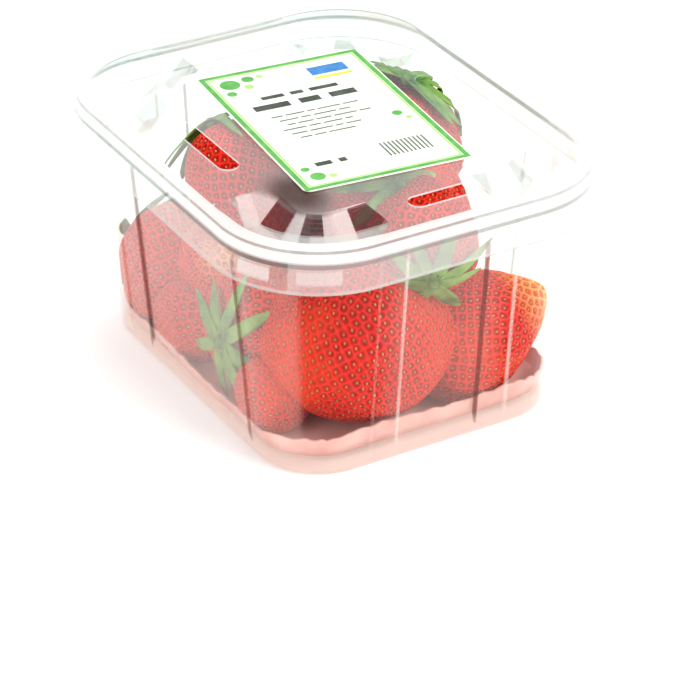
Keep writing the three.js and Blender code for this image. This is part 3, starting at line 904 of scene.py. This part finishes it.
def lid_shade(point, normal):
    """Painted shade: pocket facets painted dark as if they mirrored the fruit, and thin grey lines painted
    under the shoulder, at the skirt's top and on the lip's edge.
    """
    foot, way = foot_and_way(point)
    radius = (point.xy - foot).length
    # Pocket facets painted dark as a painted reflection of the fruit, darkest at the near corner
    if POCKET_IN_R + POCKET_EDGE < radius < RIM_INNER_R and pocket_facet(point) < 0:
        if not foot.x < 0 > foot.y:
            return FAR_DARK
        if FACET_BOUNDS[1] < (corner_turn(foot, way) or 0) < FACET_BOUNDS[2]:
            step = (POCKET_FLOOR_IN_R - POCKET_IN_R) / (2 * RIPPLES)
            return RIPPLE_DARK[int((radius - POCKET_IN_R) / step) % 2]
        return LONG_DARK if abs(way.x) > 0.97 else SHORT_DARK
    if radius < RIM_INNER_R - 0.2 * MM:
        return 0.0
    # Thin lines painted grey as painted shade on glossy edges
    on_line = (
        LUG_HIGH < point.z < SKIRT_TOP_Z or RIM_TOP - 0.9 * MM < point.z < RIM_TOP - 0.5 * MM
        or abs(normal.z) < 0.5 and point.z < LIP_Z + 0.35 * MM
    )
    return GREY_LINE if on_line else 0.0


lid = make_piece("lid_shell", give_thickness(make_lid(), SHEET), lid_film, "lid", 20)
paint_faces(lid, "mist", lid_mist_and_highlights)
paint_faces(lid, "shade", lid_shade)

# %% [markdown]
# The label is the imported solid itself, given a coated paper. Its print is a plain design: a green
# edge line, round green dots in two corners, bars where lines of words would be, and a row of
# even stripes. Each colour is one thin mesh that lies on the paper, and its tone wanders a little
# where the film of ink is thinner.

# %% Label
LABEL_TURN = math.radians(-5.3)
LABEL_SHIFT = Vector((0.8, 0.4, 0.0)) * MM
LABEL_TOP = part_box("label")[1].z
INK = 0.035 * MM

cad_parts["label"].material_slots[0].material = plain_finish(
    "label paper, coated", {"Roughness": 0.45, "Coat Weight": 0.3, "Coat Roughness": 0.2},
    (120.0, "d2dbc8", "e2ead8"),
)


def print_bars(bm, bars):
    """Flat bars: middle x, middle y, width and height in mm, on the label before it is turned."""
    for x, y, width, height in bars:
        made = bmesh.ops.create_grid(bm, x_segments=1, y_segments=1, size=0.5)["verts"]
        bmesh.ops.scale(bm, vec=(width * MM, height * MM, 1), verts=made)
        bmesh.ops.translate(bm, vec=(x * MM, y * MM, 0), verts=made)


def print_dots(bm, dots):
    """Flat round dots: middle x, middle y and radius in mm."""
    for x, y, radius in dots:
        made = bmesh.ops.create_circle(bm, cap_ends=True, segments=32, radius=radius * MM)["verts"]
        bmesh.ops.translate(bm, vec=(x * MM, y * MM, 0), verts=made)


def lay_on_label(name, bm, ink, thin, full):
    """Gives the flat print its thickness and ink, turns it with the label and lays it on the paper."""
    for face in bm.faces:
        if face.normal.z < 0:
            face.normal_flip()
    bmesh.ops.solidify(bm, geom=bm.faces[:], thickness=INK)
    turn = Matrix.Rotation(LABEL_TURN, 4, "Z")
    top = max(v.co.z for v in bm.verts)
    bmesh.ops.translate(bm, vec=(0, 0, INK - top), verts=bm.verts[:])
    bmesh.ops.transform(bm, matrix=turn, verts=bm.verts[:])
    bmesh.ops.translate(bm, vec=LABEL_SHIFT + Vector((0, 0, LABEL_TOP)), verts=bm.verts[:])
    paint = plain_finish(f"printing ink, {ink}", {"Roughness": 0.5}, (300.0, thin, full, 0.3, 0.6))
    make_piece(name, bm, paint)


def frame_bars(half_x, half_y, width):
    """The four bars of a rectangular frame."""
    return [
        (0, half_y, 2 * half_x + width, width), (0, -half_y, 2 * half_x + width, width),
        (half_x, 0, width, 2 * half_y - width), (-half_x, 0, width, 2 * half_y - width),
    ]


def word_bars(y, height, words, left):
    """A line of bars like the words of a line, one for each width in words."""
    bars, x = [], left
    for word in words:
        bars.append((x + word / 2, y, word, height))
        x += word + 0.9 * height + 0.25
    return bars


GREEN_DOTS = (
    (-15.5, 26.5, 2.6), (-10.2, 27.8, 1.6), (-17.0, 21.6, 1.3), (15.6, -4.5, 1.3),
    (-15.9, -26.9, 1.9), (-17.3, -22.6, 1.1),
)
PALE_DOTS = ((-11.4, 23.8, 1.2), (-6.8, 28.2, 0.9), (-12.3, -27.8, 1.0), (17.3, -7.6, 0.8))
HEADING = (
    word_bars(16.2, 1.7, (6.0, 3.4, 7.6), -11.5) + word_bars(11.4, 2.7, (9.5, 5.5, 7.0), -15.5)
    + word_bars(-21.4, 1.9, (4.2, 1.9), -14.0)
)
LINE_WORDS = ((3, 5, 2, 6, 4), (5, 2.5, 6, 3), (2, 4, 4, 6, 3), (6, 3, 5, 2), (4, 6, 2, 4), (3, 3, 7))
SMALL_PRINT = [
    bar for i, words in enumerate(LINE_WORDS)
    for bar in word_bars(5.6 - 2.5 * i, 0.6, words, -13.5 + 1.1 * (i % 3))
]
STRIPES = [(4.5 + 1.1 * i, -21.0, 0.5, 7.0) for i in range(11)]

# Piece, ink, its tone where it is thin and where it is full, bars and dots
for name, ink, thin, full, bars, dots in (
    ("label_print_green", "leaf green", "5aa648", "44903a", frame_bars(20.9, 32.0, 1.3), GREEN_DOTS),
    ("label_print_pale_green", "pale green", "a8d47a", "92c262", frame_bars(19.8, 30.9, 0.5), PALE_DOTS),
    ("label_print_dark", "charcoal", "43483f", "2b3028", HEADING, ()),
    ("label_print_grey", "grey", "6a7066", "545b51", SMALL_PRINT + STRIPES, ()),
    ("label_print_blue", "sky blue", "3a7cb8", "2268a6", [(10.5, 25.2, 10.0, 4.4)], ()),
    ("label_print_yellow", "yellow", "ecc840", "e2b822", [(10.5, 21.3, 10.0, 1.2)], ()),
):
    flat = bmesh.new()
    print_bars(flat, bars)
    print_dots(flat, dots)
    lay_on_label(name, flat, ink, thin, full)

# %% [markdown]
# A strawberry is a surface of revolution with small lumps. Along its axis, t runs from 0 at the
# leaves to 1 at the tip, and one formula gives the radius at each t. The heap's places and sizes
# are a table, read from the photograph: a few large fruit show, the rest fill the pack behind them.

# %% Berries: the table
SWELL = 1.14
BLUNT = 0.62
TAPER = 0.42
# place (mm), way to the tip, length, width, leaves, icosphere level, ripeness of the tip (1 = red)
BERRIES = [
    ((-9.5, -30, 26), (0.1, 0.15, 1), 50, 50, 0, 7, 1.0),
    ((20.5, -35.5, 17.5), (0.88, -0.1, 0.4), 42, 34, 0, 7, 0.2),
    ((-24.5, 30, 17), (0.3, -0.9, -0.1), 40, 33, 6, 7, 0.9),
    ((-22, -9, 19.5), (0.93, 0.25, -0.1), 34, 35, 8, 7, 1.0),
    ((20, -3, 19), (0.3, 0.6, -0.5), 34, 31, 0, 6, 1.0),
    ((18, 34, 20), (0.5, 0.4, -0.6), 36, 33, 0, 6, 1.0),
    ((-19, 9, 47.5), (0.05, -0.75, -0.6), 39, 32, 7, 7, 0.9),
    ((8.5, -29, 46.5), (0.35, 0.9, 0.25), 37, 30, 8, 7, 1.0),
    ((29, 20, 43.5), (-0.2, 0.12, -0.97), 37, 41, 10, 7, 0.6),
    ((-21, 11, 27), (-0.3, -0.5, 0.4), 36, 31, 0, 7, 0.5),
    ((5, -15, 44.5), (0, 0.6, -0.8), 34, 30, 7, 6, 1.0),
    ((20, -10, 42), (0.4, -0.5, -0.3), 32, 28, 0, 6, 0.8),
    ((-30, 12, 12.5), (0.2, -1, 0.1), 30, 24, 0, 6, 1.0),
    ((-31, -25, 11.5), (0.2, 1, 0.1), 26, 20, 0, 6, 1.0),
    ((0, -8, 22), (0, 0.1, 1), 38, 36, 0, 5, 1.0),
    ((2, 18, 22), (0, 0.1, 1), 38, 34, 0, 5, 1.0),
]


def berry_radius(t):
    """Radius of a berry as a share of half its width."""
    return SWELL * np.sin(np.pi * np.clip(t, 0.0, 1.0)) ** BLUNT * (1 - TAPER * t)


def berry_turn(tip):
    """The turn from a berry that points down to one that points along tip."""
    return np.array(Vector((0, 0, -1)).rotation_difference(Vector(tip)).to_matrix())


# %% [markdown]
# The fruit press against the film, so every skin vertex is kept inside the pack: inside the wall,
# above the pad and below the lid's panel and its pockets. Pushed vertices make the flat, blurred
# patches that fruit shows where it leans on plastic.

# %% Berries: staying inside the pack
PAD_TOP = 3.3 * MM
WALL_GAP = SHEET + PANEL_DEPTH + 0.3 * MM
# Below this height the pad's turned-up edge leaves less room
PAD_EDGE_TOP = 4.5 * MM
PAD_EDGE_ROOM = 1.5 * MM


def keep_inside(points):
    """Pushes points (an n by 3 array) in from the wall, the pad and the lid."""
    foot = np.stack([np.clip(points[:, 0], -CORE_X, CORE_X), np.clip(points[:, 1], -CORE_Y, CORE_Y)], 1)
    out = points[:, :2] - foot
    reach = np.maximum(np.linalg.norm(out, axis=1), 1e-9)
    limit = WALL_R + DRAFT * points[:, 2] - WALL_GAP
    low = np.clip((PAD_EDGE_TOP - points[:, 2]) / PAD_EDGE_TOP, 0.0, 1.0)
    limit -= PAD_EDGE_ROOM * low
    keep = np.minimum(reach, limit)
    points[:, :2] = foot + out * (keep / reach)[:, None]
    points[:, 2] = np.maximum(points[:, 2], PAD_TOP)
    run = np.where(
        np.abs(out[:, 0]) < 1e-9, CORE_X - np.abs(foot[:, 0]),
        np.where(np.abs(out[:, 1]) < 1e-9, CORE_Y - np.abs(foot[:, 1]), 0.0),
    )
    sides = np.minimum(
        np.minimum(
            (keep - POCKET_IN_R) / (POCKET_FLOOR_IN_R - POCKET_IN_R),
            (POCKET_OUT_R - keep) / (POCKET_OUT_R - POCKET_FLOOR_OUT_R),
        ),
        (POCKET_REACH - run) / (POCKET_REACH - POCKET_FLOOR_REACH),
    )
    ceiling = PANEL_Z - SHEET - 0.3 * MM - POCKET_DEPTH * np.clip(sides, 0.0, 1.0)
    points[:, 2] = np.minimum(points[:, 2], ceiling)
    return points


# %% [markdown]
# The seeds sit in pits, spaced evenly like the florets of a sunflower: each next one turns by the
# golden angle and moves on by the same share of the skin's area. Halfway between two pits the skin
# stands as a thin ridge. So each skin vertex asks for its two nearest seeds, and the difference of
# the two distances says how far it is from a ridge.

# %% Berries: skins and seeds
SEED_SPACING = 2.45 * MM
PIT_DEPTH = 0.42 * MM
PIT_HALF = 0.55 * MM
GOLDEN_ANGLE = math.pi * (3 - math.sqrt(5))
# A seed's share of the skin when all stand in even triangles, and how far each strays from that
TRIANGLE_SHARE = 0.866
STRAY_ALONG, STRAY_ROUND = 0.11, 0.26
# The hollow at the leaves, as shares of the width and of the length
DIMPLE_HALF, DIMPLE_DEPTH = 0.16, 0.08
# Where along the berry an unripe tip begins, and how soon it is at its palest
UNRIPE_FROM, UNRIPE_FADE = 0.74, 0.24
draw = np.random.default_rng(7)


def shape_berry(unit, length, width, lumps):
    """Unit sphere points to a berry about its own middle, tip along -Z, calyx dimple at +Z."""
    t = (1 - unit[:, 2]) / 2
    across = np.maximum(np.linalg.norm(unit[:, :2], axis=1), 1e-9)
    radius = berry_radius(t) * width / 2
    for way, phase, size in lumps:
        radius *= 1 + size * np.sin(unit @ way + phase)
    shaped = np.empty_like(unit)
    shaped[:, :2] = unit[:, :2] / across[:, None] * radius[:, None]
    shaped[:, 2] = (0.5 - t) * length
    dimple = np.exp(-((radius / (DIMPLE_HALF * width)) ** 2)) * (t < 0.5)
    shaped[:, 2] -= DIMPLE_DEPTH * length * dimple
    return shaped


def seed_points(length, width):
    """Unit sphere points of the seeds, spread evenly over the berry's skin."""
    t = np.linspace(0, 1, 400)
    radius = berry_radius(t) * width / 2
    strip = np.hypot(np.diff(radius), np.diff(t) * length) * (radius[1:] + radius[:-1]) * np.pi
    area = np.concatenate([[0], np.cumsum(strip)])
    count = int(area[-1] / (TRIANGLE_SHARE * SEED_SPACING**2))
    share = (np.arange(count) + 0.5) / count
    place = np.interp(share * area[-1], area, t)
    place += draw.normal(size=count) * STRAY_ALONG * SEED_SPACING / length
    place = np.clip(place, 0.002, 0.998)
    angle = np.arange(count) * GOLDEN_ANGLE
    angle += draw.normal(size=count) * STRAY_ROUND * SEED_SPACING / width
    height = 1 - 2 * place
    ring = np.sqrt(np.clip(1 - height**2, 0, 1))
    return np.stack([ring * np.cos(angle), ring * np.sin(angle), height], 1)


def make_berry(entry):
    """One pitted skin, and its seeds: each one's place, its way outward and the berry's axis."""
    at, tip, length, width, _, level, tip_ripe = entry
    at, length, width = np.array(at) * MM, length * MM, width * MM
    turn = berry_turn(tip)
    # Three broad lumps and three fine ones: way, phase and size
    lumps = [(draw.normal(size=3) * 1.6, draw.uniform(0, 6.3), 0.035) for _ in range(3)]
    lumps += [(draw.normal(size=3) * 4.0, draw.uniform(0, 6.3), 0.012) for _ in range(3)]
    ball = bmesh.new()
    bmesh.ops.create_icosphere(ball, subdivisions=level, radius=1.0)
    unit = np.array([v.co[:] for v in ball.verts])
    faces = np.array([[v.index for v in f.verts] for f in ball.faces])
    ball.free()

    def settle(sphere_points):
        return keep_inside(shape_berry(sphere_points, length, width, lumps) @ turn.T + at)

    skin, places = settle(unit), settle(seed_points(length, width))
    tree = kdtree.KDTree(len(places))
    for i, place in enumerate(places):
        tree.insert(place, i)
    tree.balance()
    edge = np.empty(len(skin))
    for i, point in enumerate(skin):
        (_, _, first), (_, _, second) = tree.find_n(point, 2)
        edge[i] = (second - first) / 2
    pit = np.clip(edge / PIT_HALF, 0, 1)
    pit = pit * pit * (3 - 2 * pit)
    corners = skin[faces]
    normal = np.zeros_like(skin)
    facing = np.cross(corners[:, 1] - corners[:, 0], corners[:, 2] - corners[:, 0])
    for k in range(3):
        np.add.at(normal, faces[:, k], facing)
    normal /= np.maximum(np.linalg.norm(normal, axis=1), 1e-12)[:, None]
    skin = skin - normal * (PIT_DEPTH * pit)[:, None]
    t = (1 - unit[:, 2]) / 2
    ripe = 1 - (1 - tip_ripe) * np.clip((t - UNRIPE_FROM) / UNRIPE_FADE, 0, 1)
    axis = turn @ np.array([0, 0, 1.0])
    return (skin, faces, pit, ripe), [(p, (p - at) / np.linalg.norm(p - at), axis) for p in places]


skins, seeds = [], []
for entry in BERRIES:
    made_skin, made_seeds = make_berry(entry)
    skins.append(made_skin)
    seeds += made_seeds
print(f"{len(seeds)} seeds")

# %% [markdown]
# Berry skin is wet and slightly see-through: light goes in and comes back red, so the shader has
# scattering below the surface and a thin clear coat. The painted pit number runs from the pale
# ridge, partly a painted highlight, to the dark hollow round the seed, partly painted shade, and
# the ripe number turns the tip of a fruit from yellow-orange to red. A slow noise shifts the red,
# so that no two fruit are quite alike.

# %% Berry skin
def skin_material():
    """Skin that is pale on the ridges, partly a painted highlight, dark in the pits, partly painted shade,
    and orange where it is not yet ripe.
    """
    material, output = new_material("strawberry skin, wet and ripe")
    pit = add_node(material, "ShaderNodeAttribute", {"attribute_name": "pit"})
    ripe = add_node(material, "ShaderNodeAttribute", {"attribute_name": "ripe"})
    slow = add_node(
        material, "ShaderNodeTexNoise", {"Scale": 45.0, "Detail": 2.0}, {"Vector": own_place(material)}
    )
    # Ridge to pit: the pale ridge is partly a painted highlight, the dark pit partly painted shade
    red = add_node(material, "ShaderNodeValToRGB", links={"Fac": pit.outputs["Fac"]})
    stops = red.color_ramp.elements
    stops[0].position, stops[0].color = 0.0, linear("e63114")
    stops[1].position, stops[1].color = 1.0, linear("9c0602")
    stops.new(0.32).color = linear("d00f05")
    pale = add_node(material, "ShaderNodeValToRGB", links={"Fac": pit.outputs["Fac"]})
    stops = pale.color_ramp.elements
    stops[0].position, stops[0].color = 0.0, linear("f8cf86")
    stops[1].position, stops[1].color = 1.0, linear("e8702a")
    orange = add_node(
        material, "ShaderNodeMapRange", {"From Min": 0.5, "From Max": 0.7, "To Max": 0.6},
        {"Value": slow.outputs["Fac"]},
    )
    warm = add_node(
        material, "ShaderNodeMix", {"data_type": "RGBA", 7: linear("e63a0c")},
        {0: orange.outputs["Result"], 6: red.outputs["Color"]},
    )
    tinted = add_node(
        material, "ShaderNodeMix", {"data_type": "RGBA"},
        {0: ripe.outputs["Fac"], 6: pale.outputs["Color"], 7: warm.outputs[2]},
    )
    shader = add_node(material, "ShaderNodeBsdfPrincipled", {
        "Roughness": 0.3, "Specular IOR Level": 0.1, "Subsurface Weight": 0.2, "Subsurface Scale": 0.0012,
        "Subsurface Radius": (1.0, 0.2, 0.1), "Coat Weight": 0.05, "Coat Roughness": 0.1,
    }, {"Base Color": tinted.outputs[2]})
    return finish_material(material, output, shader.outputs["BSDF"])


def mesh_piece(name, verts, faces, material, replaced=None):
    """A piece made from arrays of vertices and faces."""
    mesh = bpy.data.meshes.new(name)
    mesh.from_pydata(verts.tolist(), [], faces.tolist())
    mesh.polygons.foreach_set("use_smooth", [True] * len(mesh.polygons))
    return add_piece(name, mesh, material, replaced)


skin_paint = skin_material()
for i, (verts, faces, pit, ripe) in enumerate(skins):
    piece = mesh_piece(
        f"berry_{i + 1}", verts, faces, skin_paint, "berries" if i == 0 else None
    )
    for name, values in (("pit", pit), ("ripe", ripe)):
        attribute = piece.data.attributes.new(name, "FLOAT", "POINT")
        attribute.data.foreach_set("value", values)

# %% Seeds
SEED_LENGTH = 0.95 * MM
SEED_WIDTH = 0.55 * MM
SEED_SINK = 0.12 * MM


def make_seeds():
    """All seeds as one mesh: stretched icosahedra, each lying in its pit along the berry's axis."""
    ball = bmesh.new()
    bmesh.ops.create_icosphere(ball, subdivisions=1, radius=0.5)
    unit = np.array([v.co[:] for v in ball.verts])
    faces = np.array([[v.index for v in f.verts] for f in ball.faces])
    ball.free()
    verts, loops = [], []
    for place, out, axis in seeds:
        along = axis - out * (axis @ out)
        along /= max(np.linalg.norm(along), 1e-9)
        side = np.cross(out, along)
        frame_of_seed = np.stack([side * SEED_WIDTH, along * SEED_LENGTH, out * SEED_WIDTH * 0.8])
        middle = place - out * (PIT_DEPTH - SEED_SINK)
        loops.append(faces + len(verts) * len(unit))
        verts.append(unit @ frame_of_seed + middle)
    return np.concatenate(verts), np.concatenate(loops)


seed_paint = plain_finish(
    "strawberry seeds, dry and golden", {"Roughness": 0.4}, (220.0, "b86420", "dc9038", 0.35, 0.65)
)
seed_verts, seed_faces = make_seeds()
mesh_piece("berry_seeds", seed_verts, seed_faces, seed_paint)

# %% [markdown]
# Each calyx is a ring of narrow leaves round a small knob. A leaf is a thin grid: widest near its
# middle, pointed at its end, folded a little along its rib, lying on the berry's shoulder and
# curling up towards its tip by an amount of its own.

# %% Leaves
LEAF_ROWS = 9
LEAF_LANES = 5
# Where a calyx is blown to one side: berry number, first angle and whole angle of its fan, degrees
FANS = {9: (-72, 200)}
LEAF_THICKNESS = 0.3 * MM


def make_leaves():
    """All calyxes as one mesh, worked out in mm and then turned and moved with each berry."""
    bm = bmesh.new()
    for number, (at, tip, length, width, count, _, _) in enumerate(BERRIES, 1):
        if not count:
            continue
        first, whole = FANS.get(number, (0, 360))
        turn = Matrix(berry_turn(tip).tolist())
        for k in range(count):
            angle = math.radians(first + whole * (k + draw.uniform(-0.25, 0.25)) / count)
            reach = width * draw.uniform(0.38, 0.56)
            half = draw.uniform(1.9, 2.7)
            curl = draw.uniform(-0.5, 3.0)
            sway = draw.uniform(-0.25, 0.25)
            twist = Matrix.Rotation(angle, 3, "Z")
            made = bmesh.ops.create_grid(bm, x_segments=LEAF_ROWS, y_segments=LEAF_LANES - 1, size=0.5)
            for vert in made["verts"]:
                along, across = vert.co.x + 0.5, vert.co.y * 2
                wide = half * (0.6 + 1.5 * along) * max(1 - along, 0.0) ** 0.85
                out = 0.8 + along * reach
                t = 0.5 * (out / (width / 2)) ** 1.7
                high = length * (0.5 - 0.42 * t) - 0.5
                high += curl * along**2 + 0.9 * abs(across) * (1 - along) * 0.6 + 0.4
                spot = Vector((out, across * max(wide, 0.06) + sway * along * reach, high))
                spot = turn @ (twist @ spot)
                vert.co = (spot + Vector(at)) * MM
        knob = bmesh.ops.create_uvsphere(bm, u_segments=12, v_segments=8, radius=1.0)
        for vert in knob["verts"]:
            spot = Vector((vert.co.x * 1.3, vert.co.y * 1.3, vert.co.z * 1.4 + length * 0.5 - 0.3))
            vert.co = (turn @ spot + Vector(at)) * MM
    points = keep_inside(np.array([v.co[:] for v in bm.verts]))
    for vert, point in zip(bm.verts, points):
        vert.co = point
    return bm


leaf_paint = plain_finish(
    "strawberry leaves, soft matt green", {"Roughness": 0.55}, (160.0, "366a1e", "82ab48", 0.35, 0.7)
)
leaves = make_piece("berry_leaves", make_leaves(), leaf_paint)
thick = leaves.modifiers.new("leaf thickness", "SOLIDIFY")
thick.thickness = LEAF_THICKNESS
thick.offset = 0.0

# %% [markdown]
# The pad is a thin sheet of soft foam, almost flat. Its edge turns up along the walls and is
# crimped into small bright waves. Its colour is pink, partly from the juice and partly painted
# red light that the fruit throws on it.

# %% Pad
PAD_SHEET = 0.5 * MM
# The radius and height of each ring, in mm; beyond the flat part the rings are crimped
PAD_RINGS = ((5, 2.6), (9, 2.6), (12, 2.7), (14.6, 2.9), (15.5, 4.0), (15.9, 5.6), (16.1, 7.0))
PAD_FLAT_R = 12
PAD_RISE_R = PAD_RINGS[-1][0] - PAD_FLAT_R
# Length and height of the crimped edge's waves, and how much higher it stands on the short sides
PAD_WAVES = ((1.1 * MM, 0.35 * MM), (7 * MM, 0.5 * MM))
SHORT_SIDE_LIFT = 3.1538 * MM


def make_pad():
    """The pad as a single skin, crimped and turned up along its edge, highest along the short sides."""
    bm = bmesh.new()
    ring = start_ring(bm, 1.0 * MM, 2.6 * MM, np.linspace(-20, 20, 15) * MM, np.linspace(-32, 32, 23) * MM)
    bmesh.ops.contextual_create(bm, geom=ring)
    for radius, height in PAD_RINGS:
        ring = next_ring(bm, ring, radius * MM, height * MM)
        if radius > PAD_FLAT_R:
            for vert in {v for e in ring for v in e.verts}:
                foot, way = foot_and_way(vert.co)
                along = foot.x * abs(way.y) + foot.y * abs(way.x) + math.atan2(way.y, way.x) * 12 * MM
                wave = sum(math.sin(along / stretch) * height for stretch, height in PAD_WAVES)
                share = (radius - PAD_FLAT_R) / PAD_RISE_R
                vert.co.z += share * (wave + abs(way.y) * SHORT_SIDE_LIFT)
    bmesh.ops.recalc_face_normals(bm, faces=bm.faces[:])
    return bm


# Pink tone: partly juice stain, partly painted red light from the fruit
pad_paint = plain_finish(
    "pad, soft white foamed sheet", {"Roughness": 0.5, "Subsurface Weight": 0.2, "Subsurface Scale": 0.001},
    (90.0, "dc9c94", "ecbcb4", 0.3, 0.65),
)
make_piece("pad_sheet", give_thickness(make_pad(), PAD_SHEET), pad_paint, "pad")
